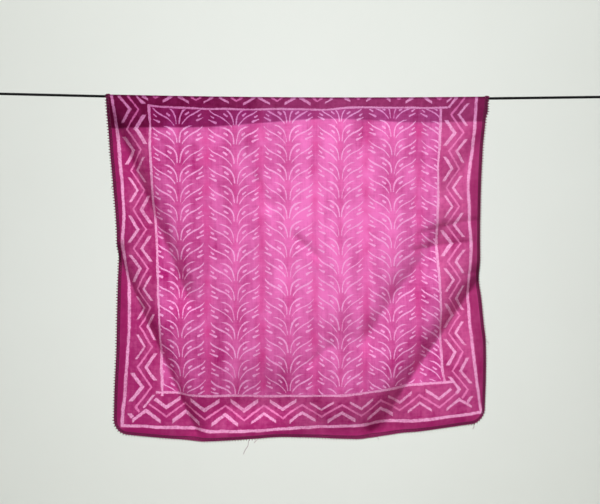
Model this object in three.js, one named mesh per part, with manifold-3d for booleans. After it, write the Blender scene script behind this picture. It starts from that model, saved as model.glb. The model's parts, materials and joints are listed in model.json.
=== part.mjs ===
// A square printed cotton scarf hung over a taut black line.
// Millimetres, +Z up. +X runs along the line from its left end to its right end,
// and the face of the scarf that shows looks along -Y. The origin is the middle of
// the left eye plate's back face, where the left end is fastened.

import * as THREE from 'three';
import { mergeVertices } from 'three/addons/utils/BufferGeometryUtils.js';
import Module from 'manifold-3d';

// The scarf as cut, and how it hangs.
const SCARF_WIDTH = 542;
const SCARF_LENGTH = 530;
const CLOTH_THICKNESS = 1.0;
const CORNER_RADIUS = 20;
const FLAP_LENGTH = 38;

// The line, its two ends and what they are tied to.
const SPAN = 960;
const LINE_DIAMETER = 3.7;
const LINE_SLOPE_LEFT = 0.024;
const LINE_SLOPE_RIGHT = 0.013;
const GAP = 0.3;
const PLATE_DIAMETER = 28;
const PLATE_THICKNESS = 3;
const PLATE_EDGE_BEVEL = 0.8;
const NECK_DIAMETER = 6;
const NECK_TAPER = 0.5;
const NECK_LENGTH = 6;
const EYE_RADIUS = 6.5;
const EYE_WIRE_DIAMETER = 3;
const EYE_SINK = 0.75;
const LOOP_LEG = 14;
const KNOT_LENGTH = 12;
const KNOT_DIAMETER = 10;
const TAIL_LENGTH = 15;
const TAIL_LEAN_OUT = 3;
const TAIL_LEAN_FORWARD = 2.5;

// How finely the pieces are cut into faces.
const COLUMNS = 48;
const FRONT_ROWS = 42;
const WRAP_ROWS = 8;
const FLAP_ROWS = 2;
const CORNER_ROWS = 3;
const LINE_STEPS = 48;
const ROUND_SIDES = 24;
const CORD_SIDES = 8;
const LEG_STEPS = 12;
const TAIL_STEPS = 5;

// Everything about the scarf is measured from its middle (x) and downwards from the
// height of the line's left end (drop).
const LINE_RADIUS = LINE_DIAMETER / 2;
const WRAP_RADIUS = LINE_RADIUS + GAP + CLOTH_THICKNESS / 2;
const QUARTER_WRAP = (WRAP_RADIUS * Math.PI) / 2;
const FRONT_LENGTH = SCARF_LENGTH - FLAP_LENGTH - 2 * QUARTER_WRAP;
const SCARF_LEFT = -274;
const SCARF_RIGHT = 267;

// The left and right edges of the hanging front, from the line down to the hem.
const leftEdge = [
  { drop: 5, x: -274 },
  { drop: 60, x: -270 },
  { drop: 123, x: -266 },
  { drop: 194, x: -260 },
  { drop: 237, x: -257 },
  { drop: 294, x: -258 },
  { drop: 365, x: -261 },
  { drop: 436, x: -265 },
  { drop: 483, x: -266 },
];
const rightEdge = [
  { drop: 5, x: 267 },
  { drop: 60, x: 262 },
  { drop: 123, x: 257 },
  { drop: 194, x: 256 },
  { drop: 294, x: 256 },
  { drop: 328, x: 260 },
  { drop: 356, x: 263 },
  { drop: 413, x: 263 },
  { drop: 466, x: 261 },
];

// The hem along the bottom, before its corners are rounded, and the flap's edge behind.
const hem = [
  { x: -266, drop: 483 },
  { x: -213, drop: 487 },
  { x: -165, drop: 491 },
  { x: -115, drop: 494 },
  { x: -70, drop: 490 },
  { x: -33, drop: 487 },
  { x: 24, drop: 489 },
  { x: 109, drop: 489 },
  { x: 156, drop: 481 },
  { x: 205, drop: 474 },
  { x: 261, drop: 466 },
];
const flapEdge = [
  { x: -274, drop: 49 },
  { x: -140, drop: 49 },
  { x: -77, drop: 45 },
  { x: 14, drop: 38 },
  { x: 85, drop: 38 },
  { x: 142, drop: 42 },
  { x: 267, drop: 41 },
];

// Folds of the hanging front. Each runs from (x1, d1) to (x2, d2), bowed sideways by
// bow at its middle. rise is how far it stands forward, or back where it is minus. outer
// and inner are how far it reaches on its two sides, its outer side being the right one
// where outerSide is 1, and fade is the length over which its ends die away.
const folds = [
  { name: 'left corner fold', x1: -266, d1: 222, x2: -146, d2: 490,
    bow: 0, outer: 34, inner: 14, rise: -15, outerSide: -1, fade: 20 },
  { name: 'left shoulder valley', x1: -276, d1: 12, x2: -158, d2: 300,
    bow: 0, outer: 34, inner: 16, rise: -13, outerSide: -1, fade: 50 },
  { name: 'right corner fold', x1: 268, d1: 250, x2: 98, d2: 492,
    bow: 0, outer: 40, inner: 16, rise: -19, outerSide: 1, fade: 30 },
  { name: 'right slant valley', x1: 208, d1: 194, x2: 88, d2: 360,
    bow: 0, outer: 28, inner: 15, rise: -12, outerSide: 1, fade: 40 },
  { name: 'right edge curl', x1: 276, d1: 325, x2: 270, d2: 460,
    bow: 0, outer: 12, inner: 18, rise: -12, outerSide: 1, fade: 40 },
  { name: 'right shoulder valley', x1: 256, d1: 66, x2: 204, d2: 150,
    bow: 0, outer: 14, inner: 12, rise: -4, outerSide: 1, fade: 30 },
  { name: 'middle ridge', x1: 54, d1: 20, x2: 54, d2: 330,
    bow: -3, outer: 26, inner: 26, rise: 5, outerSide: 1, fade: 60 },
  { name: 'valley beside the middle ridge', x1: 82, d1: 20, x2: 91, d2: 300,
    bow: 0, outer: 13, inner: 13, rise: -3.5, outerSide: 1, fade: 60 },
  { name: 'upper right valley', x1: 186, d1: 12, x2: 168, d2: 176,
    bow: 0, outer: 13, inner: 13, rise: -3, outerSide: 1, fade: 50 },
  { name: 'long left valley', x1: -86, d1: 70, x2: -106, d2: 450,
    bow: 2, outer: 14, inner: 14, rise: -4, outerSide: 1, fade: 60 },
  { name: 'left ridge', x1: -118, d1: 70, x2: -142, d2: 440,
    bow: 4, outer: 18, inner: 18, rise: 4, outerSide: 1, fade: 70 },
  { name: 'inner left ridge', x1: -70, d1: 30, x2: -62, d2: 230,
    bow: 0, outer: 15, inner: 15, rise: 3, outerSide: 1, fade: 50 },
  { name: 'middle valley', x1: -30, d1: 90, x2: -8, d2: 300,
    bow: -3, outer: 14, inner: 14, rise: -3, outerSide: 1, fade: 60 },
  { name: 'lower middle valley', x1: 4, d1: 250, x2: 24, d2: 470,
    bow: 0, outer: 17, inner: 17, rise: -3, outerSide: 1, fade: 60 },
  { name: 'right field ridge', x1: 130, d1: 40, x2: 132, d2: 250,
    bow: 0, outer: 20, inner: 20, rise: 3.5, outerSide: 1, fade: 60 },
];

// Broad places where the cloth swings forward, or back where forward is minus.
const swings = [
  { name: 'lower left corner', x: -268, drop: 486, reach: 95, forward: -4 },
  { name: 'lower right corner', x: 264, drop: 468, reach: 80, forward: -3 },
  { name: 'left edge', x: -262, drop: 215, reach: 55, forward: -5 },
  { name: 'right edge', x: 262, drop: 225, reach: 60, forward: -5 },
  { name: 'hollow above the hem', x: -62, drop: 430, reach: 46, forward: -9 },
  { name: 'small hollow above the hem', x: 130, drop: 466, reach: 40, forward: -5 },
  { name: 'middle', x: 10, drop: 300, reach: 130, forward: 6 },
];

// How soon below the line the folds open to their full depth, and how close behind the
// front the flap's free edge hangs, from middle to middle of the cloth.
const FOLDS_OPEN_OVER = 70;
const FLAP_EDGE_BEHIND = 2.2;

const smoothStep = (t) => {
  const s = THREE.MathUtils.clamp(t, 0, 1);
  return s * s * (3 - 2 * s);
};

const bump = (t) => Math.exp(-t * t);

// A smooth curve through a table's rows, as a function of the column named along.
function smoothThrough(rows, along, value) {
  const slope = rows.map((row, i) => {
    const before = rows[Math.max(i - 1, 0)];
    const after = rows[Math.min(i + 1, rows.length - 1)];
    return (after[value] - before[value]) / (after[along] - before[along]);
  });
  const last = rows.length - 1;
  return (at) => {
    const place = THREE.MathUtils.clamp(at, rows[0][along], rows[last][along]);
    let i = 0;
    while (i < last - 1 && place > rows[i + 1][along]) i += 1;
    const length = rows[i + 1][along] - rows[i][along];
    const t = (place - rows[i][along]) / length;
    const rest = 1 - t;
    return (
      rows[i][value] * rest * rest * (1 + 2 * t) +
      rows[i + 1][value] * t * t * (1 + 2 * rest) +
      length * t * rest * (slope[i] * rest - slope[i + 1] * t)
    );
  };
}

const leftX = smoothThrough(leftEdge, 'drop', 'x');
const rightX = smoothThrough(rightEdge, 'drop', 'x');
const hemDrop = smoothThrough(hem, 'x', 'drop');
const flapDrop = smoothThrough(flapEdge, 'x', 'drop');

// The line's height: straight down to the scarf from both ends, and sagging under its
// weight between the scarf's edges.
const SAG_WIDTH = SCARF_RIGHT - SCARF_LEFT;
const SAG_BEND = (LINE_SLOPE_LEFT + LINE_SLOPE_RIGHT) / (2 * SAG_WIDTH);
function lineDrop(x) {
  const inside = THREE.MathUtils.clamp(x - SCARF_LEFT, 0, SAG_WIDTH);
  const atScarf = LINE_SLOPE_LEFT * (SPAN / 2 + Math.min(x, SCARF_LEFT));
  const beyond = Math.max(x - SCARF_RIGHT, 0);
  return atScarf + LINE_SLOPE_LEFT * inside - SAG_BEND * inside * inside - LINE_SLOPE_RIGHT * beyond;
}

function foldHeight(fold, x, drop) {
  const length = Math.hypot(fold.x2 - fold.x1, fold.d2 - fold.d1);
  const alongX = (fold.x2 - fold.x1) / length;
  const alongD = (fold.d2 - fold.d1) / length;
  const along = (x - fold.x1) * alongX + (drop - fold.d1) * alongD;
  const t = THREE.MathUtils.clamp(along / length, 0, 1);
  const bowed = fold.bow * 4 * t * (1 - t);
  const aside = (x - fold.x1) * alongD - (drop - fold.d1) * alongX - bowed;
  const outward = fold.outerSide * aside;
  const reach = outward > 0 ? fold.outer : fold.inner;
  const fadeIn = smoothStep(along / fold.fade + 0.5);
  const fadeOut = smoothStep((length - along) / fold.fade + 0.5);
  return fold.rise * bump(outward / reach) * fadeIn * fadeOut;
}

// How far the front stands forward of the line's tangent plane.
function forward(x, drop) {
  const below = drop - lineDrop(x);
  const fromFolds = folds.reduce((sum, fold) => sum + foldHeight(fold, x, drop), 0);
  const fromSwings = swings.reduce((sum, swing) => {
    const away = Math.hypot(x - swing.x, drop - swing.drop);
    return sum + swing.forward * bump(away / swing.reach);
  }, 0);
  return (fromFolds + fromSwings) * smoothStep(below / FOLDS_OPEN_OVER);
}

// The drop and the side edges depend on each other, so a point is placed in a few passes.
const PLACING_PASSES = 4;

// A point of the cloth's middle surface. across goes from 0 at the left edge to 1 at
// the right one, and along from minus on the flap, through 0 at the crest over the
// line, to plus on the front.
function clothPoint(across, along) {
  const topX = THREE.MathUtils.lerp(SCARF_LEFT, SCARF_RIGHT, across);
  const angle = THREE.MathUtils.clamp(along / WRAP_RADIUS, -Math.PI / 2, Math.PI / 2);
  const wrapY = -WRAP_RADIUS * Math.sin(angle);
  const wrapDrop = lineDrop(topX) - WRAP_RADIUS * Math.cos(angle);
  if (along < -QUARTER_WRAP) {
    const share = (-along - QUARTER_WRAP) / FLAP_LENGTH;
    const drop = THREE.MathUtils.lerp(wrapDrop, flapDrop(topX), share);
    const behind = THREE.MathUtils.lerp(2 * WRAP_RADIUS, FLAP_EDGE_BEHIND, smoothStep(share));
    return new THREE.Vector3(topX, behind - WRAP_RADIUS - forward(topX, drop), -drop);
  }
  if (along <= QUARTER_WRAP) return new THREE.Vector3(topX, wrapY, -wrapDrop);
  const share = (along - QUARTER_WRAP) / FRONT_LENGTH;
  let x = topX;
  let drop = wrapDrop;
  for (let pass = 0; pass < PLACING_PASSES; pass += 1) {
    drop = THREE.MathUtils.lerp(lineDrop(x), hemDrop(x), share);
    x = THREE.MathUtils.lerp(leftX(drop), rightX(drop), across);
  }
  return new THREE.Vector3(x, wrapY - forward(x, drop), -drop);
}

// The direction that the front's outer face looks in, found from points close by.
const NORMAL_STEP = 0.5;
function clothNormal(across, along) {
  const sideStep = NORMAL_STEP / SCARF_WIDTH;
  const right = clothPoint(across + sideStep, along).sub(clothPoint(across - sideStep, along));
  const down = clothPoint(across, along + NORMAL_STEP).sub(clothPoint(across, along - NORMAL_STEP));
  return down.cross(right).normalize();
}

// The rows of faces, as distances along the cloth from its crest: the flap's edge
// first, the hem last, closer together round the line and at the rounded corners.
function clothRows() {
  const flapEnd = -QUARTER_WRAP - FLAP_LENGTH;
  const hemEnd = QUARTER_WRAP + FRONT_LENGTH;
  const corner = [];
  for (let i = 0; i < CORNER_ROWS; i += 1) {
    const angle = (Math.PI / 2) * (i / CORNER_ROWS);
    corner.push(CORNER_RADIUS * (1 - Math.cos(angle)));
  }
  const rows = corner.map((distance) => flapEnd + distance);
  const spread = (from, to, count) => {
    for (let i = 0; i < count; i += 1) rows.push(from + ((to - from) * i) / count);
  };
  spread(flapEnd + CORNER_RADIUS, -QUARTER_WRAP, FLAP_ROWS);
  spread(-QUARTER_WRAP, QUARTER_WRAP, WRAP_ROWS);
  spread(QUARTER_WRAP, hemEnd - CORNER_RADIUS, FRONT_ROWS);
  rows.push(hemEnd - CORNER_RADIUS);
  corner.reverse().forEach((distance) => rows.push(hemEnd - distance));
  return rows;
}

// How far a rounded corner draws a row's ends in from the straight edges.
function cornerInset(along) {
  const fromFlapEnd = along + QUARTER_WRAP + FLAP_LENGTH;
  const fromHem = QUARTER_WRAP + FRONT_LENGTH - along;
  const short = CORNER_RADIUS - Math.min(fromFlapEnd, fromHem);
  return short > 0 ? CORNER_RADIUS - Math.sqrt(CORNER_RADIUS ** 2 - short ** 2) : 0;
}

// The whole scarf as one closed sheet: its two faces and the narrow rim between them.
function scarfGeometry() {
  const rows = clothRows();
  const perRow = COLUMNS + 1;
  const sheetSize = rows.length * perRow;
  const front = [];
  const back = [];
  rows.forEach((along) => {
    const inset = cornerInset(along) / SCARF_WIDTH;
    for (let i = 0; i <= COLUMNS; i += 1) {
      const across = inset + (1 - 2 * inset) * (i / COLUMNS);
      const middle = clothPoint(across, along);
      const away = clothNormal(across, along).multiplyScalar(CLOTH_THICKNESS / 2);
      front.push(...middle.clone().add(away).toArray());
      back.push(...middle.clone().sub(away).toArray());
    }
  });
  const faces = [];
  const quad = (a, b, c, d) => faces.push(a, b, c, a, c, d);
  for (let j = 0; j < rows.length - 1; j += 1) {
    for (let i = 0; i < COLUMNS; i += 1) {
      const a = j * perRow + i;
      const corners = [a, a + perRow, a + perRow + 1, a + 1];
      // Each square is halved the way that the slanting folds of its side run.
      if (i >= COLUMNS / 2) corners.push(corners.shift());
      quad(...corners);
      const [b, c, d, e] = corners.map((corner) => corner + sheetSize);
      quad(b, e, d, c);
    }
  }
  const rim = [];
  for (let i = 0; i < COLUMNS; i += 1) rim.push(i);
  for (let j = 0; j < rows.length - 1; j += 1) rim.push(j * perRow + COLUMNS);
  for (let i = COLUMNS; i > 0; i -= 1) rim.push((rows.length - 1) * perRow + i);
  for (let j = rows.length - 1; j > 0; j -= 1) rim.push(j * perRow);
  rim.forEach((a, i) => {
    const b = rim[(i + 1) % rim.length];
    quad(a, b, sheetSize + b, sheetSize + a);
  });
  const geometry = new THREE.BufferGeometry();
  geometry.setAttribute('position', new THREE.Float32BufferAttribute([...front, ...back], 3));
  geometry.setIndex(faces);
  geometry.computeVertexNormals();
  return geometry;
}

function cordSection() {
  const section = new THREE.Shape();
  for (let i = 0; i < CORD_SIDES; i += 1) {
    const angle = ((i + 0.5) / CORD_SIDES) * 2 * Math.PI;
    const x = LINE_RADIUS * Math.cos(angle);
    const y = LINE_RADIUS * Math.sin(angle);
    if (i === 0) section.moveTo(x, y);
    else section.lineTo(x, y);
  }
  section.closePath();
  return section;
}

function cordAlong(path, steps) {
  return new THREE.ExtrudeGeometry(cordSection(), { extrudePath: path, steps, curveSegments: 1 });
}

// The line's route between its two knots.
const KNOT_START = PLATE_THICKNESS + NECK_LENGTH + 2 * EYE_RADIUS + LOOP_LEG;
const LINE_END = KNOT_START + KNOT_LENGTH + GAP;
class LineRoute extends THREE.Curve {
  getPoint(t, target = new THREE.Vector3()) {
    const x = THREE.MathUtils.lerp(LINE_END - SPAN / 2, SPAN / 2 - LINE_END, t);
    return target.set(x, 0, -lineDrop(x));
  }
}

const wasm = await Module();
wasm.setup();
const MERGE_WITHIN = 1e-4;

function toSolid(geometry) {
  const bare = geometry.clone();
  bare.deleteAttribute('normal');
  bare.deleteAttribute('uv');
  const merged = mergeVertices(bare, MERGE_WITHIN);
  const vertProperties = new Float32Array(merged.attributes.position.array);
  const triVerts = new Uint32Array(merged.index.array);
  return new wasm.Manifold(new wasm.Mesh({ numProp: 3, vertProperties, triVerts }));
}

function fused(geometries) {
  const solid = geometries.map(toSolid).reduce((sum, next) => sum.add(next));
  const mesh = solid.getMesh();
  const geometry = new THREE.BufferGeometry();
  geometry.setAttribute('position', new THREE.BufferAttribute(mesh.vertProperties, 3));
  geometry.setIndex(new THREE.BufferAttribute(mesh.triVerts, 1));
  geometry.computeVertexNormals();
  return geometry;
}

// A round plate with a wire eye standing on a short neck. The plate's back is at x = 0
// and the eye is towards +X, in an upright plane along the line.
function eyePlateGeometry() {
  const radius = PLATE_DIAMETER / 2;
  const profile = [
    new THREE.Vector2(0, 0),
    new THREE.Vector2(radius, 0),
    new THREE.Vector2(radius, PLATE_THICKNESS - PLATE_EDGE_BEVEL),
    new THREE.Vector2(radius - PLATE_EDGE_BEVEL, PLATE_THICKNESS),
    new THREE.Vector2(NECK_DIAMETER / 2, PLATE_THICKNESS),
    new THREE.Vector2(NECK_DIAMETER / 2 - NECK_TAPER, PLATE_THICKNESS + NECK_LENGTH),
    new THREE.Vector2(0, PLATE_THICKNESS + NECK_LENGTH),
  ];
  const plate = new THREE.LatheGeometry(profile, ROUND_SIDES);
  plate.rotateZ(-Math.PI / 2);
  const eye = new THREE.TorusGeometry(EYE_RADIUS, EYE_WIRE_DIAMETER / 2, CORD_SIDES, ROUND_SIDES);
  eye.rotateX(Math.PI / 2);
  eye.translate(PLATE_THICKNESS + NECK_LENGTH + EYE_RADIUS - EYE_SINK, 0, 0);
  return fused([plate, eye]);
}

// The line's end, turned round the eye's far wire and knotted on itself, with the cut
// tail hanging from the knot.
function loopAndKnotGeometry() {
  const eyeFar = PLATE_THICKNESS + NECK_LENGTH + 2 * EYE_RADIUS - EYE_SINK;
  const turn = EYE_WIRE_DIAMETER / 2 + GAP + LINE_RADIUS;
  const knotMiddle = KNOT_START + KNOT_LENGTH / 2;
  const legs = [];
  [1, -1].forEach((side) => {
    const turnPoints = [0, 0.25, 0.5, 0.75, 1].map((share) => {
      const angle = Math.PI - share * (Math.PI / 2);
      return new THREE.Vector3(eyeFar + turn * Math.cos(angle), side * turn * Math.sin(angle), 0);
    });
    const route = new THREE.CatmullRomCurve3([
      new THREE.Vector3(eyeFar - turn, -side * turn * 0.25, 0),
      ...turnPoints,
      new THREE.Vector3((eyeFar + knotMiddle) / 2, side * turn * 0.95, 0),
      new THREE.Vector3(knotMiddle, side * LINE_RADIUS, 0),
    ]);
    legs.push(cordAlong(route, LEG_STEPS));
  });
  const knot = new THREE.SphereGeometry(1, ROUND_SIDES / 2, ROUND_SIDES / 3);
  knot.scale(KNOT_DIAMETER / 2, KNOT_DIAMETER / 2, KNOT_LENGTH / 2);
  knot.rotateY(Math.PI / 2);
  knot.translate(knotMiddle, 0, 0);
  const tail = cordAlong(
    new THREE.CatmullRomCurve3([
      new THREE.Vector3(knotMiddle, 0, -LINE_RADIUS / 2),
      new THREE.Vector3(knotMiddle + TAIL_LEAN_OUT / 3, -TAIL_LEAN_FORWARD / 2, -KNOT_DIAMETER / 2),
      new THREE.Vector3(knotMiddle + TAIL_LEAN_OUT, -TAIL_LEAN_FORWARD, -KNOT_DIAMETER / 2 - TAIL_LENGTH),
    ]),
    TAIL_STEPS,
  );
  return fused([...legs, knot, tail]);
}

const black = { roughness: 0.55, metalness: 0 };
const materials = {
  scarf: new THREE.MeshStandardMaterial({ color: 0xc23c8c, roughness: 0.85, metalness: 0 }),
  line: new THREE.MeshStandardMaterial({ color: 0x0b0b0d, ...black }),
  plate: new THREE.MeshStandardMaterial({ color: 0x8b8e92, roughness: 0.35, metalness: 1 }),
};

function piece(name, geometry, material) {
  const mesh = new THREE.Mesh(geometry, material);
  mesh.name = name;
  return mesh;
}

// An end of the line: its eye plate, and the loop and knot that hold it. The right end
// is the left one turned about the upright axis.
function lineEnd(side) {
  const end = new THREE.Group();
  end.add(piece(`eye_plate_${side}`, eyePlateGeometry(), materials.plate));
  end.add(piece(`loop_and_knot_${side}`, loopAndKnotGeometry(), materials.line));
  return end;
}

const hungScarf = new THREE.Group();
const onLine = new THREE.Group();
onLine.position.x = SPAN / 2;
onLine.add(piece('scarf', scarfGeometry(), materials.scarf));
onLine.add(piece('line', cordAlong(new LineRoute(), LINE_STEPS), materials.line));
hungScarf.add(onLine);

const leftEnd = lineEnd('left');
hungScarf.add(leftEnd);

const rightEnd = lineEnd('right');
rightEnd.position.set(SPAN, 0, -lineDrop(SPAN / 2));
rightEnd.rotation.z = Math.PI;
hungScarf.add(rightEnd);

export default hungScarf;
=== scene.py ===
# %% [markdown]
# # A printed scarf on a hanging line
#
# A square of thin pink cotton hangs over a taut black line. Wax was drawn on the cloth before it
# was dyed, so its leaves and zigzags stay pale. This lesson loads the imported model, which gives
# the true sizes and places, and then makes each visible piece finer: the cloth with its folds and
# print, the stitched edge, the cord with its knots, and the plated ends.

import json
import math
from collections import namedtuple
from random import Random

import bpy
import numpy as np
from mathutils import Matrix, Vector


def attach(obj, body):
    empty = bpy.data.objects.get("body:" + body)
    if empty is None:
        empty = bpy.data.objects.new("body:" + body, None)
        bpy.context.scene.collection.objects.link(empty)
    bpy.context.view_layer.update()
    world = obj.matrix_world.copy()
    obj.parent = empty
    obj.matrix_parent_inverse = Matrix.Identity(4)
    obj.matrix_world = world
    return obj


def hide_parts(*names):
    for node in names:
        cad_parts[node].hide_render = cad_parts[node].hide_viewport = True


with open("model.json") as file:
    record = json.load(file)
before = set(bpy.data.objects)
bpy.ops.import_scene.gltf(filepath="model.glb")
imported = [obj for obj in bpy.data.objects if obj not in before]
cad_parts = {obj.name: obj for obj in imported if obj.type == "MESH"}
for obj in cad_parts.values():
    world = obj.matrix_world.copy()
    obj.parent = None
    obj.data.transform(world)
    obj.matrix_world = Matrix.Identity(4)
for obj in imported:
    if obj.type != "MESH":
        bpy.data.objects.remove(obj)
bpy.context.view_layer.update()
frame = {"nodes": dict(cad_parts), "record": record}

# %% [markdown]
# ## The camera
#
# The scarf was photographed straight on, from about the height of its middle. One pixel is
# 1.42 mm at the cloth. A camera 1.4 m away with the lens worked out from that width sees just
# what the picture shows.

# %% Camera
MM = 0.001
PIXEL_MM = 1.42
PICTURE_WIDTH, PICTURE_HEIGHT = 600, 504
LINE_LEFT_PIXEL_Y = 92.9
CAMERA_DISTANCE = 1.4

left_mount, right_mount = (
    next(mount for mount in frame["record"]["mounts"] if mount["name"] == name)["pos_m"]
    for name in ("left_plate", "right_plate")
)
SPAN = right_mount[0] / MM
MIDDLE_X = SPAN / 2

eye_height = -(PICTURE_HEIGHT / 2 - LINE_LEFT_PIXEL_Y) * PIXEL_MM * MM
camera_data = bpy.data.cameras.new("camera")
camera = bpy.data.objects.new("camera", camera_data)
bpy.context.collection.objects.link(camera)
camera.location = (MIDDLE_X * MM, -CAMERA_DISTANCE, eye_height)
camera.rotation_euler = (math.radians(90), 0, 0)
view_width = PICTURE_WIDTH * PIXEL_MM * MM
camera_data.lens = camera_data.sensor_width * CAMERA_DISTANCE / view_width
bpy.context.scene.camera = camera
print(f"lens {camera_data.lens:.1f} mm, sees {view_width:.3f} m of the scarf's plane")

# %% [markdown]
# ## Measures of the cloth
#
# Everything about the scarf is measured in millimetres, from its middle (x) and downwards from
# the line's left end (drop), as a maker would note it with a tape. Short tables give the hanging
# edges, and a smooth curve is drawn through their rows.

# %% Sizes and edge tables
SCARF_WIDTH = 542
SCARF_LENGTH = 530
CLOTH_THICKNESS = 0.5
CORNER_RADIUS = 20
FLAP_LENGTH = 38
LINE_DIAMETER = 3.7
LINE_SLOPE_LEFT = 0.024
LINE_SLOPE_RIGHT = 0.013
SCARF_LEFT, SCARF_RIGHT = -274, 267

WRAP_RADIUS = 2.65
QUARTER_WRAP = WRAP_RADIUS * math.pi / 2
FRONT_LENGTH = SCARF_LENGTH - FLAP_LENGTH - 2 * QUARTER_WRAP
SAG_WIDTH = SCARF_RIGHT - SCARF_LEFT
SAG_BEND = (LINE_SLOPE_LEFT + LINE_SLOPE_RIGHT) / (2 * SAG_WIDTH)

# Rows of drop and x for the upright edges, and of x and drop for the level ones.
LEFT_EDGE = [(5, -275), (60, -273), (123, -267), (194, -261), (237, -261),
             (294, -261), (365, -261), (436, -264), (483, -265)]
RIGHT_EDGE = [(5, 267), (60, 261), (123, 257), (194, 256), (255, 257), (294, 260),
              (328, 262), (356, 265), (413, 265), (466, 263)]
HEM = [(-266, 484), (-213, 489), (-165, 494), (-115, 494), (-70, 491), (-33, 489),
       (24, 491), (109, 492), (156, 484), (205, 476), (261, 468)]
FLAP_EDGE = [(-274, 49), (-140, 49), (-77, 45), (14, 38), (85, 38), (142, 42), (267, 41)]


def smooth_through(rows):
    """A smooth curve through rows of place and value, level beyond its ends."""
    places, values = np.array(rows, float).T
    before = np.r_[0, 0:len(rows) - 1]
    after = np.r_[1:len(rows), len(rows) - 1]
    slopes = (values[after] - values[before]) / (places[after] - places[before])

    def curve(at):
        at = np.clip(at, places[0], places[-1])
        i = np.clip(np.searchsorted(places, at, side="right") - 1, 0, len(places) - 2)
        length = places[i + 1] - places[i]
        t = (at - places[i]) / length
        rest = 1 - t
        return (values[i] * rest**2 * (1 + 2 * t) + values[i + 1] * t**2 * (1 + 2 * rest)
                + length * t * rest * (slopes[i] * rest - slopes[i + 1] * t))

    return curve


left_x, right_x = smooth_through(LEFT_EDGE), smooth_through(RIGHT_EDGE)
hem_drop, flap_drop = smooth_through(HEM), smooth_through(FLAP_EDGE)


def smooth_step(t):
    t = np.clip(t, 0, 1)
    return t * t * (3 - 2 * t)


def bump(t):
    return np.exp(-t * t)


def mix(a, b, share):
    return a + (b - a) * share


def line_drop(x):
    """The line's height: straight outside the scarf and sagging between its edges."""
    inside = np.clip(x - SCARF_LEFT, 0, SAG_WIDTH)
    at_scarf = LINE_SLOPE_LEFT * (SPAN / 2 + np.minimum(x, SCARF_LEFT))
    beyond = np.maximum(x - SCARF_RIGHT, 0)
    return at_scarf + LINE_SLOPE_LEFT * inside - SAG_BEND * inside**2 - LINE_SLOPE_RIGHT * beyond


print("right end of the line", -line_drop(SPAN / 2) * MM, "mount", right_mount[2])

# %% [markdown]
# ## Folds
#
# Soft cloth that hangs from a line falls in long shallow folds, and its lower corners turn back
# along two sharp slanting ones. Each fold is one row: where it starts and ends, how far it bows,
# how wide its outer and its inner side are, how far it stands forward (or back, with a minus), on
# which side its outer flank lies, and how sharp its bottom is, from 0 (round) to 1 (a V). One
# function turns each row into a trough or a ridge. Modelling folds by rows keeps them editable,
# which a simulation would not.

# %% Fold tables
Fold = namedtuple("Fold", "x1 d1 x2 d2 bow outer inner rise corner_side sharpness fade")
FOLDS = [
    Fold(-266, 222, -146, 490, 0, 34, 13, -20, -1, 0.8, 20),
    Fold(-276, 12, -158, 300, 0, 34, 14, -18, -1, 0.5, 50),
    Fold(268, 250, 98, 492, 0, 40, 14, -21, 1, 0.6, 30),
    Fold(208, 194, 88, 360, -3, 28, 14, -10, 1, 0.4, 40),
    Fold(276, 345, 270, 460, 0, 12, 18, -9, 1, 0, 40),
    Fold(256, 66, 204, 150, 0, 14, 12, -4, 1, 0, 30),
    Fold(54, 20, 54, 330, -3, 26, 26, 5, 1, 0, 60),
    Fold(82, 20, 91, 300, 0, 13, 13, -3.5, 1, 0, 60),
    Fold(186, 12, 168, 176, 0, 13, 13, -3, 1, 0, 50),
    Fold(-86, 70, -106, 450, 2, 14, 14, -4, 1, 0, 60),
    Fold(-118, 70, -142, 440, 4, 18, 18, 4, 1, 0, 70),
    Fold(-70, 30, -62, 230, 0, 15, 15, 3, 1, 0, 50),
    Fold(-30, 90, -8, 300, -3, 14, 14, -3, 1, 0, 60),
    Fold(4, 250, 24, 470, 0, 17, 17, -3, 1, 0, 60),
    Fold(130, 40, 132, 250, 0, 20, 20, 3.5, 1, 0, 60),
    Fold(-124, 448, 0, 442, 0, 22, 46, -14, -1, 0, 60),
    Fold(-24, 488, 156, 476, 0, 20, 28, -10, -1, 0, 60),
]
CREASES = [
    Fold(166, 202, 256, 180, 4, 8, 3.5, -2.2, -1, 0.8, 20),
    Fold(156, 224, 244, 211, 2, 8, 3.5, -2.2, -1, 0.8, 20),
    Fold(-61, 120, -42, 166, 0, 8, 6, -3.0, -1, 0.5, 20),
    Fold(-11, 200, 28, 236, 0, 8, 6, -3.0, -1, 0.5, 20),
    Fold(10, 388, 46, 356, 0, 8, 8, -3.4, 1, 0.5, 16),
    Fold(-258, 300, -206, 344, 0, 8, 6, -1.6, -1, 0.5, 24),
    Fold(230, 262, 258, 250, 0, 7, 5, -2.0, 1, 0.8, 14),
    Fold(236, 284, 262, 276, 0, 7, 5, -1.6, 1, 0.8, 14),
    Fold(20, 436, 30, 484, 0, 8, 8, -2.6, 1, 0.3, 20),
    Fold(-96, 440, -112, 486, 0, 9, 7, -2.8, -1, 0.3, 20),
]
Swing = namedtuple("Swing", "x drop reach forward")
SWINGS = [
    Swing(-268, 486, 95, -4),
    Swing(264, 468, 80, -3),
    Swing(-262, 215, 55, -5),
    Swing(262, 225, 60, -5),
    Swing(130, 466, 40, -5),
    Swing(10, 300, 130, 6),
]
FOLDS_OPEN_OVER = 70


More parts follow.
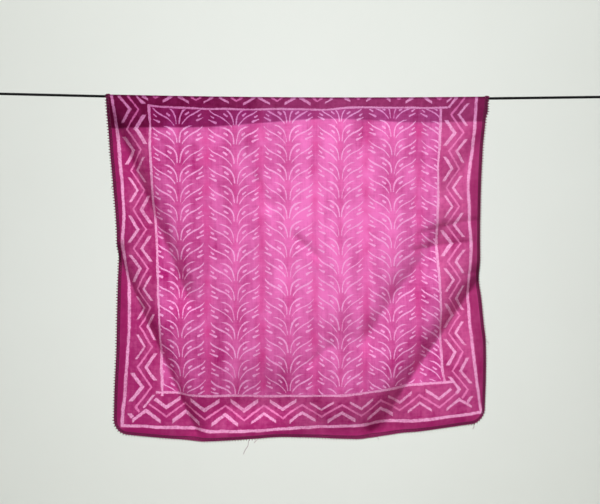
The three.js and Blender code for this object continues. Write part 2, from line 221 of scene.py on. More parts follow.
def fold_height(fold, x, drop):
    length = math.hypot(fold.x2 - fold.x1, fold.d2 - fold.d1)
    along_x, along_d = (fold.x2 - fold.x1) / length, (fold.d2 - fold.d1) / length
    along = (x - fold.x1) * along_x + (drop - fold.d1) * along_d
    t = np.clip(along / length, 0, 1)
    aside = (x - fold.x1) * along_d - (drop - fold.d1) * along_x - fold.bow * 4 * t * (1 - t)
    outward = fold.corner_side * aside
    far = np.abs(outward) / np.where(outward > 0, fold.outer, fold.inner)
    ends = smooth_step(along / fold.fade + 0.5) * smooth_step((length - along) / fold.fade + 0.5)
    return fold.rise * np.exp(-far ** (2 - fold.sharpness)) * ends


# %% Small slow waves
# Cotton that has been folded away is never quite flat between its folds. A few faint waves with
# seeded directions and lengths give it that unrest.
WAVE_COUNT = 14
WAVE_SEED = 11
wave_random = Random(WAVE_SEED)
WAVES = [
    (wave_random.uniform(-0.5, 0.5), wave_random.uniform(26, 90),
     wave_random.uniform(0, 2 * math.pi), wave_random.uniform(0.12, 0.32))
    for _ in range(WAVE_COUNT)
]


def waves(x, drop):
    total = np.zeros_like(x)
    for lean, length, start, height in WAVES:
        across = x * math.cos(lean) + drop * math.sin(lean)
        total = total + height * np.sin(2 * math.pi * across / length + start)
    return total


def forward(x, drop):
    """How far the front stands forward of the plane that touches the line."""
    total = waves(x, drop)
    for fold in FOLDS + CREASES:
        total = total + fold_height(fold, x, drop)
    for swing in SWINGS:
        away = np.hypot(x - swing.x, drop - swing.drop)
        total = total + swing.forward * bump(away / swing.reach)
    return total * smooth_step((drop - line_drop(x)) / FOLDS_OPEN_OVER)


# %% [markdown]
# ## From the flat cloth to the hanging cloth
#
# Every point of the cloth has a place on the flat square: across it, and along it from the crest
# over the line, down the front or, with a minus, down the short flap behind. One function finds
# where that point hangs. It serves the cloth, its print and its stitches alike.

# %% Where a point of the cloth hangs
PLACING_PASSES = 4
FLAP_EDGE_BEHIND = 2.2


def hang(across, along):
    """x, drop and forward place of points of the cloth's middle layer."""
    top_x = mix(SCARF_LEFT, SCARF_RIGHT, across)
    angle = np.clip(along / WRAP_RADIUS, -math.pi / 2, math.pi / 2)
    y = -WRAP_RADIUS * np.sin(angle)
    top_drop = line_drop(top_x) - WRAP_RADIUS * np.cos(angle)

    behind_share = np.clip((-along - QUARTER_WRAP) / FLAP_LENGTH, 0, 1)
    behind_drop = mix(top_drop, flap_drop(top_x), behind_share)
    spacing = mix(2 * WRAP_RADIUS, FLAP_EDGE_BEHIND, smooth_step(behind_share))
    behind_y = spacing - WRAP_RADIUS - forward(top_x, behind_drop)

    share = np.clip((along - QUARTER_WRAP) / FRONT_LENGTH, 0, 1)
    x, drop = top_x, top_drop
    for _ in range(PLACING_PASSES):
        drop = mix(line_drop(x), hem_drop(x), share)
        x = mix(left_x(drop), right_x(drop), across)
    front_y = -WRAP_RADIUS - forward(x, drop)

    is_front = along > QUARTER_WRAP
    is_behind = along < -QUARTER_WRAP
    x = np.where(is_front, x, top_x)
    drop = np.where(is_front, drop, np.where(is_behind, behind_drop, top_drop))
    y = np.where(is_front, front_y, np.where(is_behind, behind_y, y))
    return x, drop, y


def cloth_points(across, along):
    """The same points in metres in the model's frame."""
    x, drop, y = hang(across, along)
    return np.stack([(x + MIDDLE_X) * MM, y * MM, -drop * MM], axis=-1)


NORMAL_STEP = 0.4


def cloth_directions(across, along):
    """Unit directions to the right, down and outwards at points of the cloth."""
    side = NORMAL_STEP / SCARF_WIDTH
    right = cloth_points(across + side, along) - cloth_points(across - side, along)
    down = cloth_points(across, along + NORMAL_STEP) - cloth_points(across, along - NORMAL_STEP)
    out = np.cross(down, right)
    return [v / np.linalg.norm(v, axis=-1, keepdims=True) for v in (right, down, out)]


# %% [markdown]
# ## The cloth
#
# The scarf is one closed sheet half a millimetre thick: a grid of points for its face, the same
# grid for its back, and a narrow rim. Rows lie closer together where the cloth turns over the
# line and at the rounded corners. A plane with a Solidify modifier would do as well, but here the
# rows, the corners and the print all need each point's place on the flat square.

# %% The grid of the cloth
COLUMNS = 206
FRONT_ROWS = 186
WRAP_ROWS = 10
FLAP_ROWS = 9
CORNER_ROWS = 5

flap_end = -QUARTER_WRAP - FLAP_LENGTH
hem_end = QUARTER_WRAP + FRONT_LENGTH
corner_turn = CORNER_RADIUS * (1 - np.cos(np.linspace(0, math.pi / 2, CORNER_ROWS, endpoint=False)))
row_places = np.concatenate([
    flap_end + corner_turn,
    np.linspace(flap_end + CORNER_RADIUS, -QUARTER_WRAP, FLAP_ROWS, endpoint=False),
    np.linspace(-QUARTER_WRAP, QUARTER_WRAP, WRAP_ROWS, endpoint=False),
    np.linspace(QUARTER_WRAP, hem_end - CORNER_RADIUS, FRONT_ROWS),
    hem_end - corner_turn[::-1],
])


def corner_inset(along):
    """How far a rounded corner draws the cloth's sides in, in millimetres."""
    short = CORNER_RADIUS - np.minimum(along - flap_end, hem_end - along)
    short = np.clip(short, 0, CORNER_RADIUS)
    return CORNER_RADIUS - np.sqrt(CORNER_RADIUS**2 - short**2)


inset = corner_inset(row_places)[:, None] / SCARF_WIDTH
grid_across = inset + (1 - 2 * inset) * np.linspace(0, 1, COLUMNS + 1)[None, :]
grid_along = np.broadcast_to(row_places[:, None], grid_across.shape)
middle = cloth_points(grid_across, grid_along)
outward = cloth_directions(grid_across, grid_along)[2]
half_thickness = CLOTH_THICKNESS / 2 * MM
scarf_points = np.concatenate([
    (middle + outward * half_thickness).reshape(-1, 3),
    (middle - outward * half_thickness).reshape(-1, 3),
])
print("cloth grid", grid_across.shape, "points", len(scarf_points))

# %% Faces of the sheet
row_count, per_row = grid_across.shape
sheet_size = row_count * per_row
index = np.arange(sheet_size).reshape(row_count, per_row)
front_faces = np.stack([index[:-1, :-1], index[1:, :-1], index[1:, 1:], index[:-1, 1:]], axis=-1)
front_faces = front_faces.reshape(-1, 4)
back_faces = front_faces[:, ::-1] + sheet_size
rim = np.concatenate([index[0, :-1], index[:-1, -1], index[-1, :0:-1], index[:0:-1, 0]])
rim_next = np.roll(rim, -1)
rim_faces = np.stack([rim, rim_next, rim_next + sheet_size, rim + sheet_size], axis=-1)
scarf_faces = np.concatenate([front_faces, back_faces, rim_faces])


def add_piece(name, points, faces):
    """A new mesh object at the origin, its place in its mesh."""
    mesh = bpy.data.meshes.new(name)
    mesh.from_pydata(np.asarray(points).tolist(), [], [list(map(int, face)) for face in faces])
    mesh.validate()
    piece = bpy.data.objects.new(name, mesh)
    bpy.context.collection.objects.link(piece)
    return piece


def smooth_by_angle(piece, degrees):
    bpy.ops.object.select_all(action="DESELECT")
    piece.select_set(True)
    bpy.context.view_layer.objects.active = piece
    bpy.ops.object.shade_smooth_by_angle(angle=math.radians(degrees))
    piece.select_set(False)


scarf = add_piece("printed_scarf", scarf_points, scarf_faces)
smooth_by_angle(scarf, 65)
print("scarf triangles", 2 * len(scarf_faces), "size", [round(v, 3) for v in scarf.dimensions])

# %% [markdown]
# ## Where the print lies
#
# The print is a field of leaf columns in a frame of two drawn lines with a zigzag between them.
# Each point of the cloth is told where it lies in that print: its place in the field, how far
# outside the field's drawn line it lies, and how many turns along the zigzag. A material can read
# such maps, so the print follows every fold and stays sharp however coarse the mesh is.

# %% Tables of the print
# Rows of drop and x for the upright drawn lines, and of x and drop for the level ones.
INNER_LEFT = [(17, -214), (138, -210), (237, -204), (365, -199), (426, -197)]
OUTER_LEFT = [(5, -267), (60, -260), (166, -251), (223, -252), (294, -244), (408, -248), (467, -253)]
INNER_RIGHT = [(21, 200), (124, 196), (223, 195), (300, 200), (393, 203), (410, 206)]
OUTER_RIGHT = [(7, 250), (67, 246), (131, 239), (230, 243), (294, 241), (408, 251), (454, 258)]
INNER_TOP = [(-217, 18), (-192, 20.5), (-99, 23.5), (43, 23.3), (85, 21.2), (210, 21.2)]
INNER_BOTTOM = [(-206, 426), (-128, 431), (0, 431), (85, 427), (142, 419), (224, 410)]
OUTER_BOTTOM = [(-248, 473), (-185, 476), (-106, 481), (0, 476), (99, 473), (185, 464), (253, 454)]
BORDER_WIDTH = 50
TOP_BORDER_WIDTH = 40

# The field's columns: x of each column's edge and stem by turns, half a column apart in the
# print, and how much the left ones lean for each millimetre down.
HALF_COLUMN = 38.2
EDGES_AND_STEMS = [-210, -171, -132, -91, -54, -16, 22, 57, 93, 131, 168, 206]
COLUMN_LEAN = 0.014
LEAN_ENDS_AT, LEAN_FADES_OVER = 40, 250
MIDDLE_DROP = 220

# The rows of leaves were not drawn level: how far each column's rows start below those of the
# first one, at the top of the field and at its bottom.
ROW_HEIGHT = 27.63
FIRST_ROW_DROP = 45.6
FIELD_TOP, FIELD_BOTTOM = 45, 378
RowStart = namedtuple("RowStart", "top bottom")
ROW_STARTS = [RowStart(0, -1), RowStart(2, 1.5), RowStart(-1.5, -6.5), RowStart(-1.5, -13),
              RowStart(-8, -26), RowStart(-7, -24)]

# One turn of the zigzag on each side, and a place where it comes nearest to the field. Each side
# counts its turns from a number of its own, so that chance doesn't repeat from side to side.
LEFT_TURN, LEFT_PEAK_DROP = 56.5, 23.3
RIGHT_TURN, RIGHT_PEAK_DROP = 52.0, 31.0
BOTTOM_TURN, BOTTOM_PEAK_X = 55.6, -163.0
TOP_TURN, TOP_PEAK_X = 57.5, -205.0
RIGHT_COUNT, BOTTOM_COUNT, TOP_COUNT = 40, 80, 120

# How far the level and the upright drawn line run past each other at each corner of the field,
# in rows for the top and the bottom, each with its left and its right corner.
PAST_CORNERS = np.array([[(0, 0), (8, -3)], [(7, 4), (14, 0)]])

# %% Print maps


def between_lines(at, inner, outer):
    """How far outside the inner line a point lies, where the outer line is BORDER_WIDTH out."""
    share = (at - inner) / (outer - inner)
    past = np.abs(at - outer)
    return np.where(share > 1, BORDER_WIDTH + past, share * BORDER_WIDTH)


grid_x, grid_drop, _ = hang(grid_across, grid_along)
crest_drop = line_drop(grid_x) - WRAP_RADIUS
# Behind the crest the print goes on upwards, as if the flap stood up above the line.
unrolled = np.where(grid_along < QUARTER_WRAP, crest_drop + grid_along, grid_drop)
inner_left, inner_right = smooth_through(INNER_LEFT), smooth_through(INNER_RIGHT)
outer_left, outer_right = smooth_through(OUTER_LEFT), smooth_through(OUTER_RIGHT)
inner_top, inner_bottom = smooth_through(INNER_TOP), smooth_through(INNER_BOTTOM)
outer_bottom = smooth_through(OUTER_BOTTOM)

out_sideways = np.maximum(
    between_lines(grid_x, inner_left(unrolled), outer_left(unrolled)),
    between_lines(grid_x, inner_right(unrolled), outer_right(unrolled)),
)
out_upright = np.maximum(
    (inner_top(grid_x) - unrolled) * BORDER_WIDTH / TOP_BORDER_WIDTH,
    between_lines(unrolled, inner_bottom(grid_x), outer_bottom(grid_x)),
)
upright_turn = np.where(
    grid_x < 0,
    (unrolled - LEFT_PEAK_DROP) / LEFT_TURN,
    (unrolled - RIGHT_PEAK_DROP) / RIGHT_TURN + RIGHT_COUNT,
)
level_turn = np.where(
    unrolled > SCARF_LENGTH / 2,
    (grid_x - BOTTOM_PEAK_X) / BOTTOM_TURN + BOTTOM_COUNT,
    (grid_x - TOP_PEAK_X) / TOP_TURN + TOP_COUNT,
)
lean = COLUMN_LEAN * np.clip((LEAN_ENDS_AT - grid_x) / LEAN_FADES_OVER, 0, 1)
upright_x = grid_x - lean * (unrolled - MIDDLE_DROP)
marks = np.array(EDGES_AND_STEMS, float)
field_u = np.interp(upright_x, marks, np.arange(len(marks)) * HALF_COLUMN)
field_u += np.minimum(upright_x - marks[0], 0) + np.maximum(upright_x - marks[-1], 0)
column = np.clip(field_u // (2 * HALF_COLUMN), 0, len(ROW_STARTS) - 1).astype(int)
row_starts = np.array(ROW_STARTS)
down_share = (unrolled - FIELD_TOP) / (FIELD_BOTTOM - FIELD_TOP)
row_shift = mix(row_starts[column, 0], row_starts[column, 1], down_share)
field_v = unrolled - FIRST_ROW_DROP - row_shift
past_flap = np.where(grid_along > QUARTER_WRAP, unrolled - flap_drop(grid_x), -CORNER_RADIUS)


def add_map(piece, name, u, v):
    """A UV map on both layers of the sheet, from values at the grid's points."""
    per_point = np.stack([u.ravel(), v.ravel()], axis=-1)
    per_point = np.concatenate([per_point, per_point]).astype(np.float32)
    layer = piece.data.uv_layers.new(name=name)
    corner_points = np.empty(len(piece.data.loops), np.int32)
    piece.data.loops.foreach_get("vertex_index", corner_points)
    layer.uv.foreach_set("vector", per_point[corner_points].ravel())


add_map(scarf, "cloth", grid_across * SCARF_WIDTH, grid_along)
add_map(scarf, "field", field_u, field_v)
add_map(scarf, "outside", out_sideways, out_upright)
add_map(scarf, "turns", level_turn, upright_turn)
add_map(scarf, "flap", past_flap, np.zeros_like(past_flap))
is_low = (unrolled >= SCARF_LENGTH / 2).astype(int)
is_right = (grid_x >= 0).astype(int)
line_ends = PAST_CORNERS[is_low, is_right]
add_map(scarf, "ends", line_ends[..., 0], line_ends[..., 1])
print("print maps", [layer.name for layer in scarf.data.uv_layers])

# %% [markdown]
# ## Tubes for threads and cords
#
# Threads, the line and its knots are all round and follow a path. This helper carries a ring of
# points along any path without twisting it. A curve with a bevel would do the same, but a mesh
# can be joined to hundreds of others and given a map along its length at once.

# %% Tube helper
ODD_DIRECTION = (0.31, 0.17, 0.94)


def tube(path, radius, sides):
    """Points, faces and (round, along) values of a round tube along a path, closed at its ends."""
    path = np.asarray(path, float)
    steps = np.diff(path, axis=0)
    tangents = np.concatenate([steps[:1], steps[:-1] + steps[1:], steps[-1:]])
    tangents /= np.linalg.norm(tangents, axis=1, keepdims=True)
    start = np.cross(tangents[0], ODD_DIRECTION)
    sideways = [start / np.linalg.norm(start)]
    for tangent in tangents[1:]:
        moved = sideways[-1] - tangent * np.dot(sideways[-1], tangent)
        sideways.append(moved / np.linalg.norm(moved))
    sideways = np.array(sideways)
    upwards = np.cross(tangents, sideways)
    radius = np.broadcast_to(radius, len(path))[:, None, None]
    angle = np.arange(sides) * 2 * math.pi / sides
    ring = (np.cos(angle)[None, :, None] * sideways[:, None, :]
            + np.sin(angle)[None, :, None] * upwards[:, None, :])
    points = (path[:, None, :] + radius * ring).reshape(-1, 3)
    here = np.arange(len(path) * sides).reshape(len(path), sides)
    beside = np.roll(here, -1, axis=1)
    faces = np.stack([here[:-1], beside[:-1], beside[1:], here[1:]], axis=-1).reshape(-1, 4)
    faces = faces.tolist() + [here[0, ::-1].tolist(), here[-1].tolist()]
    run = np.concatenate([[0], np.cumsum(np.linalg.norm(steps, axis=1))])
    values = np.stack([np.tile(angle / (2 * math.pi), len(path)), np.repeat(run, sides)], axis=-1)
    return points, faces, values


def smoothed(rows, count):
    """A denser path of so many points through the same rows."""
    fine = np.linspace(0, len(rows) - 1, count)
    places = range(len(rows))
    return np.stack([smooth_through(list(zip(places, axis)))(fine) for axis in rows.T], axis=-1)


def add_tubes(name, tubes):
    """Many tubes as one piece, with a map of place round and length along, in millimetres."""
    points, faces, values, first = [], [], [], 0
    for tube_points, tube_faces, tube_values in tubes:
        points.append(tube_points)
        values.append(tube_values)
        faces += [[corner + first for corner in face] for face in tube_faces]
        first += len(tube_points)
    piece = add_piece(name, np.concatenate(points), faces)
    values = np.concatenate(values)
    layer = piece.data.uv_layers.new(name="winding")
    for polygon in piece.data.polygons:
        polygon.use_smooth = len(polygon.vertices) == 4
        corners = [values[piece.data.loops[i].vertex_index] for i in polygon.loop_indices]
        crosses_seam = max(c[0] for c in corners) - min(c[0] for c in corners) > 0.5
        for i, (around, along) in zip(polygon.loop_indices, corners):
            layer.data[i].uv = (around + (1 if crosses_seam and around < 0.5 else 0), along / MM)
    return piece


# %% [markdown]
# ## The overlocked edge
#
# A dark thread is sewn over the raw edge all the way round, one stitch about every 4 mm. Each
# stitch is a V whose two legs run from the needle's row over the edge to the back. One loop
# walks round the flat square, rounded corners included, and lays a stitch at each step.

# %% Walk round the edge of the flat cloth
STITCH_PITCH = 4.1
STITCH_DEPTH = 3.9
STITCH_THREAD_RADIUS = 0.55
STITCH_OVERHANG = 1.7
THREAD_SIDES = 5


def flat_edge(s):
    """Across (mm), along (mm) and the inward direction at s millimetres round the edge."""
    w, h, r = SCARF_WIDTH, SCARF_LENGTH, CORNER_RADIUS
    quarter = math.pi * r / 2
    runs = [(w - 2 * r, (r, 0), (1, 0)), (h - 2 * r, (w, r), (0, 1)),
            (w - 2 * r, (w - r, h), (-1, 0)), (h - 2 * r, (0, h - r), (0, -1))]
    centres = [(w - r, r), (w - r, h - r), (r, h - r), (r, r)]
    s = s % (2 * (w + h - 4 * r) + 4 * quarter)
    for k, ((length, start, way), centre) in enumerate(zip(runs, centres)):
        if s < length:
            return (start[0] + way[0] * s, start[1] + way[1] * s), (-way[1], way[0])
        s -= length
        if s < quarter:
            turn = s / r + (k - 1) * math.pi / 2
            out = (math.cos(turn), math.sin(turn))
            return (centre[0] + r * out[0], centre[1] + r * out[1]), (-out[0], -out[1])
        s -= quarter
    return (CORNER_RADIUS, 0), (0, 1)


edge_length = 2 * (SCARF_WIDTH + SCARF_LENGTH - 4 * CORNER_RADIUS) + 2 * math.pi * CORNER_RADIUS
stitch_count = round(edge_length / STITCH_PITCH)
step = edge_length / stitch_count
print("edge", round(edge_length), "mm with", stitch_count, "stitches")

# %% Lay the stitches
# Each row is a point of one leg: the share of its way along the edge, the share of its depth
# that it lies in from the edge, and its height above the cloth's middle layer in millimetres.
LegPoint = namedtuple("LegPoint", "along_share depth_share height")
OVER_EDGE = -STITCH_OVERHANG / STITCH_DEPTH
TOP_OF_LEG = [LegPoint(0.00, 1.00, 0.35), LegPoint(0.06, 0.82, 0.80),
              LegPoint(0.28, 0.32, 0.85), LegPoint(0.44, -0.10, 0.75)]
BACK_OF_LEG = [point._replace(height=-point.height) for point in reversed(TOP_OF_LEG)]
LEG = TOP_OF_LEG + [LegPoint(0.50, OVER_EDGE, 0.0)] + BACK_OF_LEG
NEEDLE_ROW = [LegPoint(0.08, 1.00, 0.3), LegPoint(0.5, 1.00, 0.75), LegPoint(0.92, 1.00, 0.3)]
STITCH_SEED = 5
stitch_random = Random(STITCH_SEED)
flat_points, heights = [], []


def add_thread_point(s, inward, height):
    """Notes a point of a thread s round the edge and so far in from it, on the flat cloth."""
    (a, b), (in_a, in_b) = flat_edge(s)
    flat_points.append((a + in_a * inward, b + in_b * inward))
    heights.append(height)


for i in range(stitch_count):
    depth = STITCH_DEPTH + stitch_random.uniform(-0.6, 0.4)
    for side in (1, -1):
        for leg in LEG:
            s = (i + 0.5 + side * (0.5 - leg.along_share)) * step
            add_thread_point(s, leg.depth_share * depth, leg.height)
    for point in NEEDLE_ROW:
        add_thread_point((i + point.along_share) * step, STITCH_DEPTH, point.height)

flat_points = np.array(flat_points)
across = flat_points[:, 0] / SCARF_WIDTH
along = flat_points[:, 1] + flap_end
stitch_points = cloth_points(np.clip(across, 0, 1), np.clip(along, flap_end, hem_end))
just_inside = np.clip(across, 0.002, 0.998), np.clip(along, flap_end + 1, hem_end - 1)
right, down, out = cloth_directions(*just_inside)
over_side = (across - np.clip(across, 0, 1)) * SCARF_WIDTH
over_end = along - np.clip(along, flap_end, hem_end)
stitch_points = stitch_points + (
    right * over_side[:, None] + down * over_end[:, None] + out * np.array(heights)[:, None]
) * MM

thread_tubes = []
first = 0
for count in stitch_count * (len(LEG), len(LEG), len(NEEDLE_ROW)):
    path = stitch_points[first:first + count]
    thread_tubes.append(tube(path, STITCH_THREAD_RADIUS * MM, THREAD_SIDES))
    first += count
print("thread tubes", len(thread_tubes))

# %% [markdown]
# A few thread ends hang loose from the edge. Each is a short tube too, and joins the stitches.

# %% Loose thread ends
# Rows of x and drop, from the edge outwards.
LOOSE_ENDS = [
    [(-71, 489), (-73, 495), (-74, 501), (-77.5, 506), (-80, 512)],
    [(-57, 489), (-61, 492), (-65, 496)],
    [(-259, 126), (-265, 129.5), (-269, 136)],
    [(95, 488), (102, 493), (110, 492), (113, 495)],
    [(262, 352), (267, 353), (269, 357)],
    [(243, 467), (247, 473), (245, 477)],
]
LOOSE_THREAD_RADIUS = 0.3
LOOSE_STEPS = 4
OUT_AT_TIP = 1.5
for rows in LOOSE_ENDS:
    x, drop = np.array(rows, float).T
    y = -WRAP_RADIUS - forward(x, drop) - np.linspace(0, OUT_AT_TIP, len(rows))
    route = np.stack([x + MIDDLE_X, y, -drop], axis=-1)
    path = smoothed(route, LOOSE_STEPS * len(rows)) * MM
    thread_tubes.append(tube(path, LOOSE_THREAD_RADIUS * MM, THREAD_SIDES))

stitches = add_tubes("overlock_stitches", thread_tubes)
print("stitch triangles", sum(len(p.vertices) - 2 for p in stitches.data.polygons))

# %% [markdown]
# ## The line
#
# The scarf hangs over a thin black braided cord that is held taut at both ends. It is a round
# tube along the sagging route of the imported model, with a map that winds round it for the braid.

# %% Line
PLATE_THICKNESS, NECK_LENGTH, EYE_RADIUS, EYE_WIRE, EYE_SINK = 3, 6, 6.5, 3, 0.75
LOOP_LEG, KNOT_LENGTH, GAP = 14, 12, 0.3
LINE_RADIUS = LINE_DIAMETER / 2
KNOT_START = PLATE_THICKNESS + NECK_LENGTH + 2 * EYE_RADIUS + LOOP_LEG
LINE_END = KNOT_START + KNOT_LENGTH + GAP
LINE_STEPS = 240
CORD_SIDES = 14

line_x = np.linspace(LINE_END, SPAN - LINE_END, LINE_STEPS)
line_path = np.stack([line_x, np.zeros_like(line_x), -line_drop(line_x - MIDDLE_X)], axis=-1) * MM
line = add_tubes("braided_line", [tube(line_path, LINE_RADIUS * MM, CORD_SIDES)])

# %% [markdown]
# ## Loops and knots
#
# Each end of the line goes round its eye, comes back, is wound three times round itself and ends
# in a short tail that hangs down. It is one path, so the cord is whole inside the knot. The right
# end is the left one turned half round about the upright axis.

# %% Loops and knots
KNOT_TURNS = 3
KNOT_STEPS = 3
TAIL_LENGTH = 15
eye_far = PLATE_THICKNESS + NECK_LENGTH + 2 * EYE_RADIUS - EYE_SINK
loop_turn = EYE_WIRE / 2 + GAP + LINE_RADIUS
wind_radius = 2 * LINE_RADIUS + 0.1


def knot_path():
    """The cord's end from the line's face, round the eye, wound on itself, to the tail."""
    rows = [(KNOT_START + KNOT_LENGTH, 0, 0), (KNOT_START + 4, 0.4, 0), (KNOT_START - 3, 1.6, 0)]
    for share in np.linspace(0, 1, 9):
        angle = math.pi / 2 + share * math.pi
        rows.append((eye_far + loop_turn * math.cos(angle), loop_turn * math.sin(angle), 0))
    rows += [(KNOT_START - 4, -2.4, 0)]
    for share in np.linspace(0, 1, KNOT_TURNS * 12 + 1):
        angle = -math.pi / 2 - share * KNOT_TURNS * 2 * math.pi
        x = KNOT_START + LINE_RADIUS + share * (KNOT_LENGTH - 2 * LINE_RADIUS - 0.4)
        rows.append((x, wind_radius * math.cos(angle), wind_radius * math.sin(angle)))
    end_x = rows[-1][0]
    rows += [(end_x + 0.6, -1.6, -wind_radius - 3), (end_x + 0.9, -2.2, -wind_radius - 8),
             (end_x + 0.4, -2.4, -wind_radius - TAIL_LENGTH)]
    return np.array(rows, float)


knot_rows = knot_path()
left_knot_path = smoothed(knot_rows, KNOT_STEPS * (len(knot_rows) - 1) + 1) * MM
right_knot_path = np.array([SPAN * MM, 0, right_mount[2]]) + left_knot_path * (-1, -1, 1)
knots = {}
for side, path in (("left", left_knot_path), ("right", right_knot_path)):
    knots[side] = add_tubes(f"tied_end_{side}", [tube(path, LINE_RADIUS * MM, CORD_SIDES)])
print("knots", list(knots))

# %% [markdown]
# ## Writing shader maths as sums
#
# A print like this one is mostly arithmetic. This small class wraps one output of a material's
# node, so that a sum written in Python adds the Math nodes it needs. Every other kind of node
# comes from its one method, node, and the short methods below it only save typing.

# %% Shader helper


class Socket:
    """One output of a node in a material."""

    def __init__(self, tree, output=None):
        self.tree = tree
        self.output = output

    def node(self, kind, settings=None, inputs=None, output=0):
        """Adds a node: its settings first, then values or links for its sockets."""
        made = self.tree.nodes.new(kind)
        for name, value in (settings or {}).items():
            if name == "stops":
                ramp = made.color_ramp
                while len(ramp.elements) < len(value):
                    ramp.elements.new(0.5)
                for element, (place, colour) in zip(ramp.elements, value):
                    element.position = place
                    element.color = colour
            else:
                setattr(made, name, value)
        for name, value in (inputs or {}).items():
            if isinstance(value, Socket):
                self.tree.links.new(value.output, made.inputs[name])
            else:
                made.inputs[name].default_value = value
        return Socket(self.tree, made.outputs[output] if made.outputs else None)

    def math(self, operation, *others):
        """A Math node on this value and the others."""
        values = dict(enumerate((self, *others)))
        return self.node("ShaderNodeMath", {"operation": operation}, values)

    def __add__(self, other):
        return self.math("ADD", other)

    def __sub__(self, other):
        return self.math("SUBTRACT", other)

    def __rsub__(self, other):
        return self.node("ShaderNodeMath", {"operation": "SUBTRACT"}, {0: other, 1: self})

    def __mul__(self, other):
        return self.math("MULTIPLY", other)

    def __truediv__(self, other):
        return self.math("DIVIDE", other)

    def __abs__(self):
        return self.math("ABSOLUTE")

    __radd__, __rmul__ = __add__, __mul__

    def over(self, other):
        """The larger of the two."""
        return self.math("MAXIMUM", other)

    def under(self, other):
        """The smaller of the two."""
        return self.math("MINIMUM", other)

    def step(self, low, high):
        """0 below low, 1 above high, and smooth between. Works downwards too."""
        sockets = {"Value": self, "From Min": low, "From Max": high}
        return self.node("ShaderNodeMapRange", {"interpolation_type": "SMOOTHSTEP"}, sockets)

    def parts(self):
        """The X and Y values of a vector."""
        x = self.node("ShaderNodeSeparateXYZ", None, {0: self})
        return x, Socket(self.tree, x.output.node.outputs[1])

    def vector(self, operation, *others, output=0):
        """A Vector Math node on this vector and the others."""
        values = dict(enumerate((self, *others)))
        return self.node("ShaderNodeVectorMath", {"operation": operation}, values, output)

    def stretched(self, x, y, z=1.0):
        """This place with its directions scaled apart, for long thin noise."""
        return self.vector("MULTIPLY", (x, y, z))

    def noise(self, scale, detail=2.0, roughness=0.5, dimensions="2D", output=0):
        """Soft noise from 0 to 1 at this place."""
        sockets = {"Vector": self, "Scale": scale, "Detail": detail, "Roughness": roughness}
        return self.node("ShaderNodeTexNoise", {"noise_dimensions": dimensions}, sockets, output)

    def bump(self, strength, distance):
        """The surface's direction where this is its height."""
        sockets = {"Height": self, "Strength": strength, "Distance": distance}
        return self.node("ShaderNodeBump", None, sockets)


def new_material(name):
    """A material with an empty tree, and a Socket to start its nodes from."""
    material = bpy.data.materials.new(name)
    material.use_nodes = True
    material.node_tree.nodes.clear()
    return material, Socket(material.node_tree)


def colour_mix(share, a, b, blend="MIX"):
    sockets = {0: share, 6: a, 7: b}
    settings = {"data_type": "RGBA", "blend_type": blend}
    start = next(value for value in (share, a, b) if isinstance(value, Socket))
    return start.node("ShaderNodeMix", settings, sockets, output=2)


def random_at(start, *values):
    """A steady random number from 0 to 1 for each set of whole numbers."""
    vector = start.node("ShaderNodeCombineXYZ", None, dict(enumerate(values)))
    return start.node("ShaderNodeTexWhiteNoise", {"noise_dimensions": "3D"}, {0: vector})


def map_of(start, name):
    return start.node("ShaderNodeUVMap", {"uv_map": name})


def own_place(start):
    """The place on the piece in metres, which stays with it wherever it moves."""
    return start.node("ShaderNodeTexCoord", output=3)


def surface(colour, roughness, specular, normal=None, metallic=0.0):
    sockets = {"Base Color": colour, "Roughness": roughness, "Specular IOR Level": specular,
               "Metallic": metallic}
    if normal is not None:
        sockets["Normal"] = normal
    return colour.node("ShaderNodeBsdfPrincipled", None, sockets)


def finish_material(material, shader):
    shader.node("ShaderNodeOutputMaterial", None, {"Surface": shader})
    return material


def linear(r, g, b):
    """A colour given as it looks on a screen, from 0 to 255, as light."""
    values = (value / 255 for value in (r, g, b))
    return tuple(v / 12.92 if v <= 0.04045 else ((v + 0.055) / 1.055) ** 2.4 for v in values) + (1.0,)


# %% [markdown]
# ## Printed cotton, the drawing
#
# Wax lines on dyed cotton are drawn by hand, so no two are quite alike. Each mark below is the
# distance from a point of the cloth to a simple curve, in millimetres. A threshold on that
# distance makes the stroke, noise makes its edge ragged, and a random number for each leaf moves
# it a little. Half a column is drawn once and mirrored about its stem.

# %% Leaf field
FIELD_WOBBLE = 1.6
STROKE_HALF_WIDTH = 1.0
EDGE_SOFTNESS = 0.35
# The long stroke at its middle: how far from the column's edge and how far down it is, its slope
# there, and how fast it steepens on both sides. The fountain: its stem and how it spreads.
STROKE_MIDDLE, STROKE_DROP, STROKE_SLOPE, STROKE_CURL = 17.0, 13.2, 0.52, 0.0014
FOUNTAIN_STEM, FOUNTAIN_SPREAD, FOUNTAIN_FALL = 36.5, 20.0, 6.3


def mark_within(distance, half_width):
    """1 on a mark and 0 off it, from the distance to its middle."""
    return (half_width - distance).step(-EDGE_SOFTNESS, EDGE_SOFTNESS)


def dab(u, v, ragged, start_at, end_at, thin, thick):
    """A short straight dab of wax, from its thin end to its thick one."""
    along_u, along_v = end_at[0] - start_at[0], end_at[1] - start_at[1]
    length = math.hypot(along_u, along_v)
    unit_u, unit_v = along_u / length, along_v / length
    run = (u - start_at[0]) * unit_u + (v - start_at[1]) * unit_v
    aside = (u - start_at[0]) * unit_v - (v - start_at[1]) * unit_u
    past = (0 - run).over(run - length).over(0.0)
    distance = (past * past + aside * aside).math("SQRT") + ragged
    return mark_within(distance, run.step(0.0, length) * (thick - thin) + thin)


